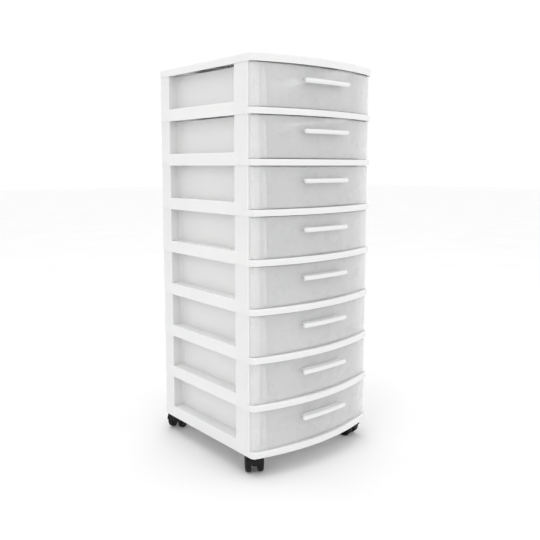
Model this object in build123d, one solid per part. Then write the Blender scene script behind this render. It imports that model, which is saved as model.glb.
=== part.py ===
"""Plastic drawer tower: eight moulded tiers under one lid, on four twin-wheel casters.

Millimetres. +Z is up, the bowed fronts face -Y and +X is the right-hand side. While it is being
built the tower stands with Y = 0 on the line through the front corners of its frames; at the end
everything is moved so that the origin is under the middle of the whole tower, on the floor.
"""
import os
from math import asin, degrees, sqrt
from build123d import *

# ---- tower ---------------------------------------------------------------------------------
TIERS = 8
WIDTH = 320.0            # frames and lid, side to side
DEPTH = 311.0            # front corner line to back face
BOW = 28.0               # how far the lips and the lid bulge ahead of the front corners
TIER_PITCH = 91.5        # height of one tier
GROUND_GAP = 42.0        # floor to the lowest frame
WALL = 2.4               # moulded wall of frames and lid
CORNER_R = 10.0          # front corners of the lips and the lid, in plan
BACK_R = 7.0             # back corners, in plan
DRAFT = 1.0              # each side of a frame leans in by this much over its height

# ---- frame ---------------------------------------------------------------------------------
LIP_HEIGHT = 12.0        # front lip, whose top is the deck
LIP_EDGE_R = 2.5
DECK = 2.0               # thickness of the deck
RAIL_HEIGHT = 24.0       # side and back rails under the sunk panels
RECESS = 25.0            # how deep the panels are sunk
RECESS_R = 6.0           # rounded inner corners of the sunk panels
POST_SETBACK = 11.0      # front face of the posts, behind the front corner line
FRONT_POST = 40.0        # length of a front post, front to back
REAR_POST = 37.0         # length of a rear post, front to back
BACK_POST = 44.0         # width of a rear post, seen from behind
RIB = 1.6                # ribs under decks and lid
RIB_COUNT = 3            # ribs each way
RIB_DROP = 8.0           # how far the ribs hang down
TENON_HEIGHT = 4.0       # tenons on the posts, that nest in the hollow of the part above
TENON_GAP = 0.3
TENON_EDGE = 1.0
RUNNER_HEIGHT = 1.0      # runner ribs on the deck, under the drawer
RUNNER_WIDTH = 3.0
RUNNER_X = 96.0
RUNNER_END_GAP = 6.0     # deck left free at both ends of a runner

# ---- lid -----------------------------------------------------------------------------------
LID_HEIGHT = 15.5
LID_TOP = 2.4
LID_EDGE_R = 3.0

# ---- drawer --------------------------------------------------------------------------------
LIP_REACH = 8.0          # lip ahead of the drawer front, in the middle
FACE_SIDE_GAP = 3.0      # drawer front inside the frame's side, on each side
FACE_BOW = 23.0
FACE_CORNER_R = 8.0
FACE_LEAST_R = 1.0       # smallest corner radius inside the front
FACE_WALL = 2.4
FACE_RIM = 6.0           # depth of the stiffening rims along the front's top and bottom
FACE_RIM_WALL = 2.0
FACE_BOTTOM_GAP = 1.2    # drawer front above the lip
FACE_TOP_GAP = 1.5       # drawer front below the next frame
FACE_POST_GAP = 0.4      # back edge of the drawer front to the post
SLIDE_GAP = 0.3          # tub above the runners
TUB_WALL = 1.8
TUB_SIDE_GAP = 2.0       # rim of the tub to the bay wall
TUB_BACK_GAP = 4.0
TUB_TOP_GAP = 12.0       # rim of the tub below the next frame
TUB_LEAN = 3.0           # how far each tub wall leans in, top to bottom
TUB_CORNER_R = 12.0
TUB_BOTTOM_R = 5.0
TUB_RIM = 2.2            # width of the rim outside the tub wall
TUB_RIM_WALL = 1.8

# ---- handle --------------------------------------------------------------------------------
HANDLE_LENGTH = 116.0
HANDLE_HEIGHT = 63.0     # bar centre above the bottom of its tier
BAR_D = 9.0
BAR_END_R = 3.2
STANDOFF = 13.0          # bar centre ahead of the drawer front
WEB_LENGTH = 101.0
WEB_THICKNESS = 3.0
WEB_RAISE = 2.6          # middle of the web above the middle of the bar
PEG_D = 4.0
PEG_GAP = 0.2
PEG_SPACING = 76.0
BARB_D = 6.6
BARB_LENGTH = 3.0

# ---- casters -------------------------------------------------------------------------------
WHEEL_D = 38.0
WHEEL_WIDTH = 11.0
WHEEL_EDGE_R = 2.6
WHEEL_DISH = 1.2         # depth of the dished ring on a wheel's outer face
WHEEL_DISH_IN_D = 13.0
WHEEL_DISH_OUT_D = 28.0
TRAIL = 16.0             # axle behind the stem
AXLE_D = 5.0
AXLE_SINK = 8.0          # how deep the axle enters each wheel
AXLE_END_GAP = 0.4
RUN_GAP = 0.1            # radial clearance of turning fits
BOSS_D = 11.6            # boss of the caster body round the stem
BOSS_SIDE_GAP = 0.6      # boss to the wheels
NECK_D = 10.4            # boss above the hood
CASTER_WEB = 8.0         # plate of the caster body between the wheels
CASTER_HUB_D = 15.0
HOOD_GAP = 0.9           # hood to the wheel's tread
HOOD_WALL = 1.5
HOOD_BACK = 30.0         # the hood ends this many degrees above the axle, behind
HOOD_FRONT = 8.0         # and this many degrees above it, at the stem
STEM_D = 8.0
STEM_SINK = 24.0         # stem inside the caster body
STEM_TIP_R = 1.2
SOCKET_D = 13.0          # outside of the stem sockets
SOCKET_INSET = 0.6       # sockets run this far into the walls beside them
SOCKET_RAISE = 2.0       # mouth of a socket above the bottom of the lowest frame
SOCKET_DEPTH = 34.0
SOCKET_END_GAP = 1.0
SEAT_GAP = 0.25          # caster body to the socket's mouth
RING_HEIGHT = 5.0
RING_WALL = 0.8
RING_SLOT = 1.2
RING_PLAY = 0.2          # up and down, in the stem's groove
RING_FROM_TIP = 7.0

# ---- where the casters point: degrees from straight back to the wheels, seen from above ------
CASTER_TURN = {
    "front_left": -33.0,
    "front_right": 10.0,
    "back_left": -58.0,
    "back_right": 128.0,
}

# ---- worked out from the above -----------------------------------------------------------------
HALF = WIDTH / 2
LIP_RADIUS = (HALF**2 + BOW**2) / (2 * BOW)
PANEL_X = HALF - RECESS              # outer face of the sunk side panels
BAY_HALF = PANEL_X - WALL            # inner face, which the drawer passes
PANEL_BACK = DEPTH - RECESS
BAY_BACK = PANEL_BACK - WALL
WINDOW_FRONT = POST_SETBACK + FRONT_POST
WINDOW_BACK = DEPTH - REAR_POST
WINDOW_HALF = HALF - BACK_POST
DECK_BOTTOM = LIP_HEIGHT - DECK
FACE_HALF = HALF - FACE_SIDE_GAP
FACE_NOSE = LIP_REACH - BOW
FACE_RADIUS = (FACE_HALF**2 + FACE_BOW**2) / (2 * FACE_BOW)
FACE_BACK = POST_SETBACK - FACE_POST_GAP
FACE_BOTTOM = LIP_HEIGHT + FACE_BOTTOM_GAP
FACE_TOP = TIER_PITCH - FACE_TOP_GAP
TUB_BOTTOM = LIP_HEIGHT + RUNNER_HEIGHT + SLIDE_GAP
TUB_TOP = TIER_PITCH - TUB_TOP_GAP
TUB_HALF = BAY_HALF - TUB_SIDE_GAP - TUB_RIM
TUB_BACK = BAY_BACK - TUB_BACK_GAP - TUB_RIM
FACE_CENTRE = Axis((0, FACE_NOSE + FACE_RADIUS, 0), (0, 0, 1))
HOOD_R = WHEEL_D / 2 + HOOD_GAP
WHEEL_INNER = BOSS_D / 2 + BOSS_SIDE_GAP
WHEEL_OUTER = WHEEL_INNER + WHEEL_WIDTH
SOCKET_X = BAY_HALF + SOCKET_D / 2 + SOCKET_INSET
SOCKET_FRONT = POST_SETBACK + SOCKET_D / 2 + SOCKET_INSET
SOCKET_BACK = DEPTH - WALL - SOCKET_D / 2 + SOCKET_INSET
SOCKET_MOUTH = GROUND_GAP + SOCKET_RAISE
STEM_TIP = SOCKET_MOUTH + SOCKET_DEPTH - SOCKET_END_GAP
RING_TOP = STEM_TIP - RING_FROM_TIP
FAR = 2 * (WIDTH + DEPTH)            # longer than anything, for cutting tools


def block(x0, x1, y0, y1, z0, z1):
    """A box given by its limits."""
    return Pos((x0 + x1) / 2, (y0 + y1) / 2, (z0 + z1) / 2) * Box(x1 - x0, y1 - y0, z1 - z0)


def both_sides(piece):
    """A piece and its mirror image on the other side of the tower."""
    return piece + mirror(piece, Plane.YZ)


def bowed_plan(half, back, nose, radius, front_r, back_r):
    """Plan with a straight back and a bowed front, whose arc passes (0, nose)."""
    corner = nose + radius - sqrt(radius**2 - half**2)
    sides = Polyline((half, corner), (half, back), (-half, back), (-half, corner))
    front = ThreePointArc((-half, corner), (0, nose), (half, corner))
    plan = make_face(sides + front)
    corners = plan.vertices().sort_by(Axis.Y)
    plan = fillet(corners[:2], front_r)
    if back_r:
        plan = fillet(plan.vertices().sort_by(Axis.Y)[-2:], back_r)
    return plan


def tower_plan(inset=0.0):
    """Outline of frames and lid, or the same outline a wall further in."""
    return bowed_plan(
        HALF - inset, DEPTH - inset, inset - BOW, LIP_RADIUS - inset, CORNER_R - inset, BACK_R - inset
    )


# ---- frames ----------------------------------------------------------------------------------
def hollow(height):
    """The hollow inside the skirt of a frame or of the lid."""
    return extrude(tower_plan(WALL), height)


def stiffening_ribs(top):
    """Crossed ribs under a deck or under the lid, inside the skirt."""
    bottom = top - RIB_DROP
    ribs = Part()
    for i in range(1, RIB_COUNT + 1):
        share = i / (RIB_COUNT + 1)
        x = (2 * share - 1) * WINDOW_HALF
        y = WINDOW_FRONT + share * (WINDOW_BACK - WINDOW_FRONT)
        ribs += block(x - RIB / 2, x + RIB / 2, -BOW, DEPTH, bottom, top)
        ribs += block(-HALF, HALF, y - RIB / 2, y + RIB / 2, bottom, top)
    return ribs & Pos(0, 0, bottom) * extrude(tower_plan(WALL / 2), RIB_DROP)


def sunk_panels():
    """What is taken away outside the two side panels and the back panel."""
    side = block(PANEL_X, HALF + WALL, WINDOW_FRONT, WINDOW_BACK, RAIL_HEIGHT, TIER_PITCH)
    side = fillet(side.edges().filter_by(Axis.Z).group_by(Axis.X)[0], RECESS_R)
    back = block(-WINDOW_HALF, WINDOW_HALF, PANEL_BACK, DEPTH + WALL, RAIL_HEIGHT, TIER_PITCH)
    back = fillet(back.edges().filter_by(Axis.Z).group_by(Axis.Y)[0], RECESS_R)
    return both_sides(side) + back


def cores():
    """The blind hollows of rails and posts, open from below."""
    outer = HALF - WALL
    front = POST_SETBACK + WALL
    back = DEPTH - WALL
    rail_top = RAIL_HEIGHT - WALL
    post_top = TIER_PITCH - WALL
    side = block(PANEL_X, outer, front, back, DECK_BOTTOM, rail_top)
    side += block(PANEL_X, outer, front, WINDOW_FRONT - WALL, DECK_BOTTOM, post_top)
    side += block(PANEL_X, outer, WINDOW_BACK + WALL, back, DECK_BOTTOM, post_top)
    side += block(WINDOW_HALF + WALL, outer, PANEL_BACK, back, DECK_BOTTOM, post_top)
    middle = block(-outer, outer, PANEL_BACK, back, DECK_BOTTOM, rail_top)
    return both_sides(side) + middle


def tenons():
    """Pegs on the four posts, which nest inside the skirt of the part above."""
    x0 = PANEL_X + TENON_GAP
    x1 = HALF - WALL - TENON_GAP
    front = block(x0, x1, POST_SETBACK + WALL, WINDOW_FRONT - WALL, 0, TENON_HEIGHT)
    rear = block(x0, x1, WINDOW_BACK + WALL, DEPTH - WALL - TENON_GAP, 0, TENON_HEIGHT)
    pair = Part()
    for peg in (front, rear):
        peg = fillet(peg.edges().filter_by(Axis.Z), BACK_R - WALL)
        pair += chamfer(peg.edges().group_by(Axis.Z)[-1], TENON_EDGE)
    return Pos(0, 0, TIER_PITCH) * both_sides(pair)


def runners():
    """Two low ribs on the deck, that the drawer slides on."""
    front = POST_SETBACK + RUNNER_END_GAP
    back = BAY_BACK - RUNNER_END_GAP
    rib = block(
        RUNNER_X - RUNNER_WIDTH / 2, RUNNER_X + RUNNER_WIDTH / 2, front, back,
        DECK_BOTTOM, LIP_HEIGHT + RUNNER_HEIGHT,
    )
    return both_sides(rib)


def tier_frame():
    """One moulded tier: bowed lip, deck, rails, four hollow posts and three sunk panels."""
    lean = degrees(asin(DRAFT / TIER_PITCH))
    body = extrude(tower_plan(), TIER_PITCH, taper=lean)
    body -= hollow(DECK_BOTTOM)
    body -= block(-BAY_HALF, BAY_HALF, -FAR, BAY_BACK, LIP_HEIGHT, TIER_PITCH)
    body -= block(-FAR, FAR, -FAR, POST_SETBACK, LIP_HEIGHT, TIER_PITCH)
    body -= sunk_panels()
    body -= cores()
    lip_edges = [
        edge for edge in body.edges()
        if abs(edge.center().Z - LIP_HEIGHT) < 0.01
        and edge.geom_type == GeomType.CIRCLE
        and edge.center().Y < POST_SETBACK
    ]
    body = fillet(lip_edges, LIP_EDGE_R)
    return body + stiffening_ribs(DECK_BOTTOM) + tenons() + runners()


def caster_places():
    """Name and stem position of each caster."""
    return {
        "front_left": (-SOCKET_X, SOCKET_FRONT),
        "front_right": (SOCKET_X, SOCKET_FRONT),
        "back_left": (-SOCKET_X, SOCKET_BACK),
        "back_right": (SOCKET_X, SOCKET_BACK),
    }


def lowest_frame():
    """The lowest tier, with a stem socket in the corner of each post."""
    body = tier_frame()
    top = SOCKET_RAISE + SOCKET_DEPTH + WALL
    for x, y in caster_places().values():
        body += Pos(x, y, (SOCKET_RAISE + top) / 2) * Cylinder(SOCKET_D / 2, top - SOCKET_RAISE)
    for x, y in caster_places().values():
        mouth = SOCKET_RAISE + SOCKET_DEPTH / 2
        body -= Pos(x, y, mouth) * Cylinder(STEM_D / 2 + RUN_GAP, SOCKET_DEPTH)
    return body


# ---- lid -------------------------------------------------------------------------------------
def lid():
    """Shallow cover with a skirt, that sits on the top tier's posts."""
    body = extrude(tower_plan(), LID_HEIGHT)
    body = fillet(body.edges().group_by(Axis.Z)[-1], LID_EDGE_R)
    body -= hollow(LID_HEIGHT - LID_TOP)
    return body + stiffening_ribs(LID_HEIGHT - LID_TOP)


# ---- drawers ---------------------------------------------------------------------------------
def face_plan(inset, back):
    """Plan of the drawer front, or of what lies behind it."""
    corner_r = max(FACE_CORNER_R - inset, FACE_LEAST_R)
    return bowed_plan(FACE_HALF - inset, back, FACE_NOSE + inset, FACE_RADIUS - inset, corner_r, 0)


def face_band(depth, bottom, top):
    """A strip of the drawer front, as deep as a wall or as a rim."""
    outer = extrude(face_plan(0, FACE_BACK), top - bottom)
    inner = extrude(face_plan(depth, FACE_BACK + depth), top - bottom)
    return Pos(0, 0, bottom) * (outer - inner)


def tub_plan(grow):
    """Rounded plan of the tub; it runs out through the front, where it is trimmed."""
    half = TUB_HALF + grow
    back = TUB_BACK + grow
    start = FACE_NOSE - FACE_BOW
    plan = make_face(Polyline((-half, start), (half, start), (half, back), (-half, back), close=True))
    return fillet(plan.vertices().sort_by(Axis.Y)[-2:], TUB_CORNER_R + grow)


def tub_block(grow, bottom, top):
    """The tub as a solid block whose walls lean in towards the bottom."""
    low = Pos(0, 0, bottom) * tub_plan(grow - TUB_LEAN)
    high = Pos(0, 0, top) * tub_plan(grow)
    body = loft([low, high])
    edges = body.edges().group_by(Axis.Z)[0].filter_by(lambda e: e.center().Y > 0)
    return fillet(edges, TUB_BOTTOM_R)


def drawer():
    """One clear moulding: bowed front with rims, and a leaning tub with a rim round its top."""
    front = face_band(FACE_WALL, FACE_BOTTOM, FACE_TOP)
    front += face_band(FACE_RIM, FACE_BOTTOM, FACE_BOTTOM + FACE_RIM_WALL)
    front += face_band(FACE_RIM, FACE_TOP - FACE_RIM_WALL, FACE_TOP)
    behind = extrude(face_plan(FACE_WALL / 2, FAR), TIER_PITCH)
    inside = extrude(face_plan(FACE_WALL, FAR), TIER_PITCH)
    tub = tub_block(0, TUB_BOTTOM, TUB_TOP)
    rim = Pos(0, 0, TUB_TOP - TUB_RIM_WALL) * extrude(tub_plan(TUB_RIM), TUB_RIM_WALL)
    cavity = tub_block(-TUB_WALL, TUB_BOTTOM + TUB_WALL, TUB_TOP + TUB_WALL)
    body = front + ((tub + rim) & behind)
    body -= cavity & inside
    for x in (-PEG_SPACING / 2, PEG_SPACING / 2):
        hole = Rot(90, 0, 0) * Cylinder(PEG_D / 2 + PEG_GAP, FACE_BOW)
        body -= Pos(x, FACE_NOSE, HANDLE_HEIGHT + WEB_RAISE) * hole
    return body


def along_face(profile, length, radius):
    """Turn a profile round the centre of the drawer front's arc, over a length at a radius."""
    angle = degrees(length / radius)
    return revolve(profile, FACE_CENTRE, angle).rotate(FACE_CENTRE, -angle / 2)


def handle():
    """Curved bar, with the web and the two snap pegs that hold it in the drawer front."""
    bar_y = FACE_NOSE - STANDOFF
    web_z = HANDLE_HEIGHT + WEB_RAISE
    side_view = Plane.YZ
    bar = along_face(
        side_view * Pos(bar_y, HANDLE_HEIGHT) * Circle(BAR_D / 2), HANDLE_LENGTH, FACE_RADIUS + STANDOFF
    )
    bar = fillet(bar.faces().filter_by(GeomType.PLANE).edges(), BAR_END_R)
    web = along_face(
        side_view * Pos(FACE_NOSE - STANDOFF / 2, web_z) * Rectangle(STANDOFF, WEB_THICKNESS),
        WEB_LENGTH, FACE_RADIUS,
    )
    body = bar + web
    for x in (-PEG_SPACING / 2, PEG_SPACING / 2):
        face_y = FACE_NOSE + FACE_RADIUS - sqrt(FACE_RADIUS**2 - x**2)
        reach = FACE_WALL + 2 * PEG_GAP
        peg = Pos(x, face_y + (reach - FACE_WALL) / 2, web_z) * Rot(90, 0, 0)
        body += peg * Cylinder(PEG_D / 2, reach + FACE_WALL)
        barb = Pos(x, face_y + reach + BARB_LENGTH / 2, web_z) * Rot(-90, 0, 0)
        body += barb * Cone(BARB_D / 2, PEG_D / 2, BARB_LENGTH)
    return body


# ---- casters: stem on the Z axis, wheels behind it, floor at Z = 0 -------------------------------
def turned(points, rounded, radius):
    """A solid of revolution about the axle, from (x, radius) points, with some corners rounded."""
    face = make_face(Polyline(*points, close=True))
    corners = [v for v in face.vertices() if (round(v.X, 3), round(v.Y, 3)) in rounded]
    return Pos(0, TRAIL, WHEEL_D / 2) * revolve(fillet(corners, radius), Axis.X)


def wheel(side):
    """One wheel with a dished outer face and a blind bore for the axle."""
    bore = AXLE_D / 2 + RUN_GAP
    rim = WHEEL_D / 2
    blind = WHEEL_INNER + AXLE_SINK + AXLE_END_GAP
    dish = WHEEL_OUTER - WHEEL_DISH
    points = [
        (WHEEL_INNER, bore), (WHEEL_INNER, rim), (WHEEL_OUTER, rim),
        (WHEEL_OUTER, WHEEL_DISH_OUT_D / 2), (dish, WHEEL_DISH_OUT_D / 2 - WHEEL_DISH),
        (dish, WHEEL_DISH_IN_D / 2 + WHEEL_DISH), (WHEEL_OUTER, WHEEL_DISH_IN_D / 2),
        (WHEEL_OUTER, 0), (blind, 0), (blind, bore),
    ]
    rounded = {(round(x, 3), round(rim, 3)) for x in (WHEEL_INNER, WHEEL_OUTER)}
    body = turned(points, rounded, WHEEL_EDGE_R)
    return body if side > 0 else mirror(body, Plane.YZ)


def axle():
    """Pin through the caster body, with an end in each wheel."""
    length = 2 * (WHEEL_INNER + AXLE_SINK)
    return Pos(0, TRAIL, WHEEL_D / 2) * Rot(0, 90, 0) * Cylinder(AXLE_D / 2, length)


def stem():
    """Pin that stands in the caster body, with a grooved top in the frame's socket."""
    bottom = SOCKET_MOUTH - SEAT_GAP - STEM_SINK
    pin = Pos(0, 0, (bottom + STEM_TIP) / 2) * Cylinder(STEM_D / 2, STEM_TIP - bottom)
    pin = chamfer(pin.edges().group_by(Axis.Z)[-1], STEM_TIP_R)
    groove = RING_HEIGHT + 2 * RING_PLAY
    collar = Cylinder(STEM_D, groove) - Cylinder(STEM_D / 2 - RING_WALL, groove)
    return pin - Pos(0, 0, RING_TOP - RING_HEIGHT / 2) * collar


def grip_ring():
    """Split ring that holds on to the socket and keeps the stem in it."""
    outer = STEM_D / 2 + RUN_GAP
    inner = STEM_D / 2 - RING_WALL + RUN_GAP
    ring = Cylinder(outer, RING_HEIGHT) - Cylinder(inner, RING_HEIGHT)
    ring -= Pos(outer, 0, 0) * Box(2 * outer, RING_SLOT, RING_HEIGHT)
    return Pos(0, 0, RING_TOP - RING_HEIGHT / 2) * ring


def sector(radius, start, end):
    """Pie slice in the side view of a caster, about the axle, over the angles given."""
    middle = (start + end) / 2
    tip = Vector(radius, 0)
    arc = ThreePointArc(tip.rotate(Axis.Z, start), tip.rotate(Axis.Z, middle), tip.rotate(Axis.Z, end))
    sides = Polyline(arc @ 1, (0, 0), arc @ 0)
    return make_face(arc + sides)


def caster_body():
    """Swivelling body: boss for the stem, plate between the wheels and hood over them."""
    roof = sector(HOOD_R + HOOD_WALL, HOOD_BACK, 180 - HOOD_FRONT)
    plate = extrude(Plane.YZ * roof, CASTER_WEB / 2, both=True)
    hood = extrude(Plane.YZ * (roof - Circle(HOOD_R)), WHEEL_OUTER, both=True)
    hub = Rot(0, 90, 0) * Cylinder(CASTER_HUB_D / 2, CASTER_WEB)
    over_wheels = Pos(0, TRAIL, WHEEL_D / 2) * (plate + hood + hub)
    neck_top = SOCKET_MOUTH - SEAT_GAP
    boss_top = WHEEL_D / 2 + HOOD_R + HOOD_WALL
    boss_bottom = neck_top - STEM_SINK - HOOD_WALL
    boss = Pos(0, 0, (boss_bottom + boss_top) / 2) * Cylinder(BOSS_D / 2, boss_top - boss_bottom)
    neck = Pos(0, 0, (boss_top + neck_top) / 2) * Cylinder(NECK_D / 2, neck_top - boss_top)
    body = over_wheels + boss + neck
    body -= Pos(0, 0, neck_top - STEM_SINK / 2) * Cylinder(STEM_D / 2, STEM_SINK)
    return body - axle()


def caster():
    """Every piece of one caster."""
    return {
        "stem": stem(),
        "grip_ring": grip_ring(),
        "hood": caster_body(),
        "axle": axle(),
        "wheel_left": wheel(-1),
        "wheel_right": wheel(1),
    }


# ---- the whole tower ---------------------------------------------------------------------------
def tower():
    """Every piece in its place, by node name."""
    pieces = {}
    one_frame = tier_frame()
    one_drawer = drawer()
    one_handle = handle()
    for tier in range(1, TIERS + 1):
        place = Pos(0, 0, GROUND_GAP + (TIERS - tier) * TIER_PITCH)
        pieces[f"frame_{tier}"] = place * (lowest_frame() if tier == TIERS else one_frame)
        pieces[f"drawer_{tier}"] = place * one_drawer
        pieces[f"handle_{tier}"] = place * one_handle
    pieces["lid"] = Pos(0, 0, GROUND_GAP + TIERS * TIER_PITCH) * lid()
    one_caster = caster()
    for name, (x, y) in caster_places().items():
        for part_name, shape in one_caster.items():
            pieces[f"{name}_{part_name}"] = Pos(x, y, 0) * Rot(0, 0, CASTER_TURN[name]) * shape
    return pieces


def main():
    pieces = tower()
    boxes = [shape.bounding_box() for shape in pieces.values()]
    middle = (min(box.min.Y for box in boxes) + max(box.max.Y for box in boxes)) / 2
    os.makedirs("parts", exist_ok=True)
    for name, shape in pieces.items():
        export_step(Pos(0, -middle, 0) * shape, f"parts/{name}.step")
    print(f"front corner line at Y = {-middle:.3f}")
    for name, (x, y) in caster_places().items():
        print(f"{name} stem at {x:.3f}, {y - middle:.3f}, turned {CASTER_TURN[name]:.1f}")


main()
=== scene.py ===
"""Looks of the drawer tower: materials, softened edges, floor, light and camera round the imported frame."""
from math import cos, radians, sin

import bpy
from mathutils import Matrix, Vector

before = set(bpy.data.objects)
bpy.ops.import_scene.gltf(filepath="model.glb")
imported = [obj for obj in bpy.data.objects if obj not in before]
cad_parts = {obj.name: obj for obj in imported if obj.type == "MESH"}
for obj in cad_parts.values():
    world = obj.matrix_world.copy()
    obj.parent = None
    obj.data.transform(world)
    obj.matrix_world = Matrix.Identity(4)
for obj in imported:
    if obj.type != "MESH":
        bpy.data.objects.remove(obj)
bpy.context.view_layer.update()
scene = bpy.context.scene

# Lengths are in metres and angles in degrees, except where a comment gives another unit.

# ---- camera: the photograph's point of view --------------------------------------------------------
CAMERA_PLACE = (-0.8747, -1.0368, 0.5902)
CAMERA_YAW = 40.484       # from +Y towards +X
CAMERA_PITCH = 6.659      # downwards
PHOTO_SIZE = 540.0        # pixels, both ways
FOCAL_PIXELS = 636.6
SENSOR = 36.0             # millimetres
SHIFT_DOWN = 0.055        # of the picture's width: the photograph has its horizon above the middle

# ---- stage -----------------------------------------------------------------------------------------
FLOOR_SIZE = 30.0
SKY_STRENGTH = 1.03
LIGHT_TARGET = (0.0, 0.0, 0.4)
SOFT_LIGHTS = {           # square lights: place, width, power in watts
    "top": ((-0.3, -0.4, 2.6), 1.8, 5.0),
    "left": ((-1.3, -0.5, 3.5), 1.0, 9.0),
    "front": ((0.8, -2.4, 1.0), 1.6, 3.0),
}

# ---- finish ----------------------------------------------------------------------------------------
KINDS = {                 # word in a node's name: its material, and the width of its softened edges
    "frame": ("white_shell", 0.0006),
    "lid": ("white_shell", 0.0006),
    "drawer": ("clear_drawer", 0.0005),
    "handle": ("white_handle", 0.0003),
    "hood": ("black_body", 0.0004),
    "wheel": ("black_wheel", 0.0004),
    "stem": ("steel", 0.0002),
    "axle": ("steel", 0.0002),
    "ring": ("steel", 0.0001),
}
EDGE_ANGLE = 32.0         # edges sharper than this are softened
EDGE_SEGMENTS = 2
WELD_GAP = 0.00001        # the imported mesh's split points lie closer than this
FACE_WEIGHT = 50          # the neutral weight: normals follow the faces' areas alone

NOISE = {                 # waves a metre, detail, roughness
    "colour": (9.0, 3.0, 0.5),
    "gloss": (35.0, 4.0, 0.5),
    "grain": (1400.0, 3.0, 0.6),
    "sinks": (22.0, 1.0, 0.5),
    "clearness": (7.0, 1.0, 0.5),
    "steel_colour": (60.0, 2.0, 0.5),
    "steel_lines": (260.0, 3.0, 0.6),
    "floor": (3.0, 2.0, 0.5),
}
EVEN = (1.0, 1.0, 1.0)
LINES_ACROSS_Z = (1.0, 1.0, 9.0)
RAMP_ENDS = (0.3, 0.7)    # part of the noise that a colour ramp spreads over its two colours
RANGE_ENDS = (0.25, 0.75)  # part of the noise that is spread over a range of numbers
GRAIN_DEPTH = 0.00006
SINK_DEPTH = 0.0012
LINE_DEPTH = 0.00005
LINE_STRENGTH = 0.3
PLASTIC_IOR = 1.5


# ---- node helpers ----------------------------------------------------------------------------------
def new_material(name):
    """A material with a bare Principled shader, its node tree and the shader."""
    material = bpy.data.materials.new(name)
    material.use_nodes = True
    tree = material.node_tree
    return material, tree, tree.nodes["Principled BSDF"]


def set_levels(shader, levels):
    """Give the shader's own sockets their uniform values."""
    for socket, level in levels.items():
        shader.inputs[socket].default_value = level


def noise(tree, kind, stretch=EVEN):
    """One of the noises, in object coordinates."""
    scale, detail, rough = NOISE[kind]
    place = tree.nodes.new("ShaderNodeTexCoord")
    mapping = tree.nodes.new("ShaderNodeMapping")
    mapping.inputs["Scale"].default_value = stretch
    texture = tree.nodes.new("ShaderNodeTexNoise")
    texture.inputs["Scale"].default_value = scale
    texture.inputs["Detail"].default_value = detail
    texture.inputs["Roughness"].default_value = rough
    tree.links.new(place.outputs["Object"], mapping.inputs["Vector"])
    tree.links.new(mapping.outputs["Vector"], texture.inputs["Vector"])
    return texture.outputs["Fac"]


def colours(tree, factor, low, high):
    """A ramp from one colour to another."""
    ramp = tree.nodes.new("ShaderNodeValToRGB")
    for stop, position, colour in zip(ramp.color_ramp.elements, RAMP_ENDS, (low, high)):
        stop.position = position
        stop.color = (*colour, 1.0)
    tree.links.new(factor, ramp.inputs["Fac"])
    return ramp.outputs["Color"]


def ranged(tree, factor, low, high):
    """The factor's middle half spread over a range."""
    spread = tree.nodes.new("ShaderNodeMapRange")
    spread.inputs["From Min"].default_value, spread.inputs["From Max"].default_value = RANGE_ENDS
    spread.inputs["To Min"].default_value = low
    spread.inputs["To Max"].default_value = high
    tree.links.new(factor, spread.inputs["Value"])
    return spread.outputs["Result"]


def bump(tree, shader, heights):
    """Bumps one after another: (factor, strength, distance)."""
    normal = None
    for factor, strength, distance in heights:
        node = tree.nodes.new("ShaderNodeBump")
        node.inputs["Strength"].default_value = strength
        node.inputs["Distance"].default_value = distance
        tree.links.new(factor, node.inputs["Height"])
        if normal is not None:
            tree.links.new(normal, node.inputs["Normal"])
        normal = node.outputs["Normal"]
    tree.links.new(normal, shader.inputs["Normal"])


# ---- materials -------------------------------------------------------------------------------------
def moulded(name, low, high, rough, grain, sinks, levels=None, clearness=None):
    """Moulded plastic: slight clouding in its colour and gloss, fine grain and broad sink marks.

    low and high are the ends of its colour, rough and clearness the ends of its roughness and its alpha.
    """
    material, tree, shader = new_material(name)
    tree.links.new(colours(tree, noise(tree, "colour"), low, high), shader.inputs["Base Color"])
    tree.links.new(ranged(tree, noise(tree, "gloss"), *rough), shader.inputs["Roughness"])
    if clearness:
        tree.links.new(ranged(tree, noise(tree, "clearness"), *clearness), shader.inputs["Alpha"])
    bump(tree, shader, [
        (noise(tree, "sinks"), sinks, SINK_DEPTH),
        (noise(tree, "grain"), grain, GRAIN_DEPTH),
    ])
    set_levels(shader, {"IOR": PLASTIC_IOR, **(levels or {})})
    return material


def steel(name):
    """Drawn steel: fine lines across Z, bright and slightly worn."""
    material, tree, shader = new_material(name)
    lines = noise(tree, "steel_lines", LINES_ACROSS_Z)
    colour = colours(tree, noise(tree, "steel_colour"), (0.52, 0.52, 0.53), (0.66, 0.66, 0.67))
    tree.links.new(colour, shader.inputs["Base Color"])
    tree.links.new(ranged(tree, lines, 0.22, 0.38), shader.inputs["Roughness"])
    bump(tree, shader, [(lines, LINE_STRENGTH, LINE_DEPTH)])
    set_levels(shader, {"Metallic": 1.0})
    return material


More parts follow.
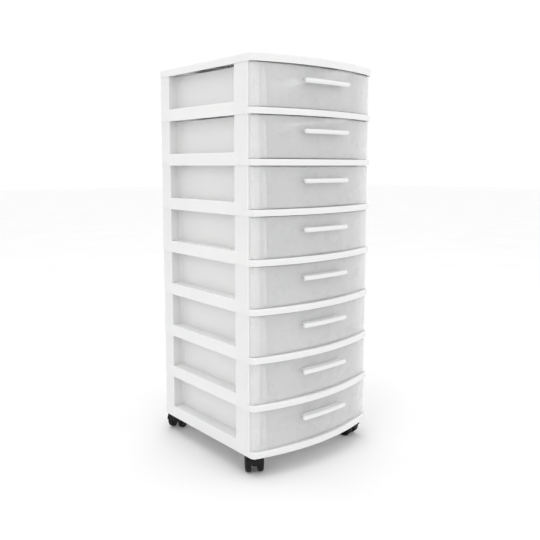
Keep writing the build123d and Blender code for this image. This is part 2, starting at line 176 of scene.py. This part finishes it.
MATERIALS = {
    "white_shell": moulded(
        "white_shell", (0.785, 0.79, 0.788), (0.81, 0.81, 0.805), (0.34, 0.46), grain=0.30, sinks=0.05,
        levels={"Subsurface Weight": 0.5, "Subsurface Radius": EVEN, "Subsurface Scale": 0.004},
    ),
    "clear_drawer": moulded(
        "clear_drawer", (0.93, 0.935, 0.935), (0.95, 0.95, 0.95), (0.24, 0.32), grain=0.05, sinks=0.0,
        clearness=(0.39, 0.43),
    ),
    "white_handle": moulded(
        "white_handle", (0.765, 0.77, 0.77), (0.785, 0.785, 0.78), (0.16, 0.24), grain=0.10, sinks=0.02,
        levels={"Coat Weight": 0.3, "Coat Roughness": 0.12},
    ),
    "black_body": moulded(
        "black_body", (0.007, 0.007, 0.0075), (0.013, 0.013, 0.0135), (0.30, 0.46), grain=0.6, sinks=0.12,
        levels={"Specular IOR Level": 0.2},
    ),
    "black_wheel": moulded(
        "black_wheel", (0.006, 0.006, 0.006), (0.012, 0.012, 0.012), (0.38, 0.58), grain=0.5, sinks=0.08,
        levels={"Specular IOR Level": 0.2},
    ),
    "steel": steel("steel"),
}


# ---- dress the CAD nodes ---------------------------------------------------------------------------
def kind_of(node):
    """Which kind of piece a node is, from its name."""
    for kind in KINDS:
        if kind in node:
            return kind
    raise ValueError(node)


def soften(piece, width):
    """Weld the imported mesh and round its sharp edges, with smooth shading over the rest."""
    piece.data.polygons.foreach_set("use_smooth", [True] * len(piece.data.polygons))
    weld = piece.modifiers.new("weld", "WELD")
    weld.merge_threshold = WELD_GAP
    bevel = piece.modifiers.new("edges", "BEVEL")
    bevel.width = width
    bevel.segments = EDGE_SEGMENTS
    bevel.limit_method = "ANGLE"
    bevel.angle_limit = radians(EDGE_ANGLE)
    bevel.harden_normals = True
    bevel.use_clamp_overlap = True
    normals = piece.modifiers.new("normals", "WEIGHTED_NORMAL")
    normals.mode = "FACE_AREA"
    normals.weight = FACE_WEIGHT
    normals.keep_sharp = False


for name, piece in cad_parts.items():
    material_name, edge_width = KINDS[kind_of(name)]
    piece.data.materials.clear()
    piece.data.materials.append(MATERIALS[material_name])
    soften(piece, edge_width)


# ---- floor, light and camera -----------------------------------------------------------------------
def pale_floor():
    """A plain pale floor, well past the edges of the picture."""
    bpy.ops.mesh.primitive_plane_add(size=FLOOR_SIZE, location=(0, 0, 0))
    floor = bpy.context.object
    floor.name = "floor"
    material, tree, shader = new_material("pale_floor")
    colour = colours(tree, noise(tree, "floor"), (0.93, 0.93, 0.93), (0.95, 0.95, 0.95))
    tree.links.new(colour, shader.inputs["Base Color"])
    set_levels(shader, {"Roughness": 0.8, "Specular IOR Level": 0.2})
    floor.data.materials.append(material)


def white_sky():
    """An even white world all round, which gives most of the light."""
    world = bpy.data.worlds.new("studio")
    scene.world = world
    world.use_nodes = True
    background = world.node_tree.nodes["Background"]
    background.inputs["Color"].default_value = (1.0, 1.0, 1.0, 1.0)
    background.inputs["Strength"].default_value = SKY_STRENGTH


def soft_light(name, place, size, power):
    """A square area light, turned to the middle of the tower."""
    data = bpy.data.lights.new(name, "AREA")
    data.shape = "SQUARE"
    data.size = size
    data.energy = power
    light = bpy.data.objects.new(name, data)
    scene.collection.objects.link(light)
    light.location = place
    light.rotation_mode = "QUATERNION"
    light.rotation_quaternion = (Vector(LIGHT_TARGET) - Vector(place)).to_track_quat("-Z", "Y")


def photo_camera():
    """The camera at the photograph's place, direction and focal length."""
    data = bpy.data.cameras.new("photo_camera")
    camera = bpy.data.objects.new("photo_camera", data)
    scene.collection.objects.link(camera)
    yaw, pitch = radians(CAMERA_YAW), radians(CAMERA_PITCH)
    look = Vector((sin(yaw) * cos(pitch), cos(yaw) * cos(pitch), -sin(pitch)))
    camera.location = CAMERA_PLACE
    camera.rotation_mode = "QUATERNION"
    camera.rotation_quaternion = look.to_track_quat("-Z", "Y")
    data.sensor_width = SENSOR
    data.lens = FOCAL_PIXELS / PHOTO_SIZE * SENSOR
    data.shift_y = -SHIFT_DOWN
    scene.camera = camera


pale_floor()
white_sky()
for light_name, (place, size, power) in SOFT_LIGHTS.items():
    soft_light(light_name, place, size, power)
photo_camera()
scene.view_settings.view_transform = "Standard"
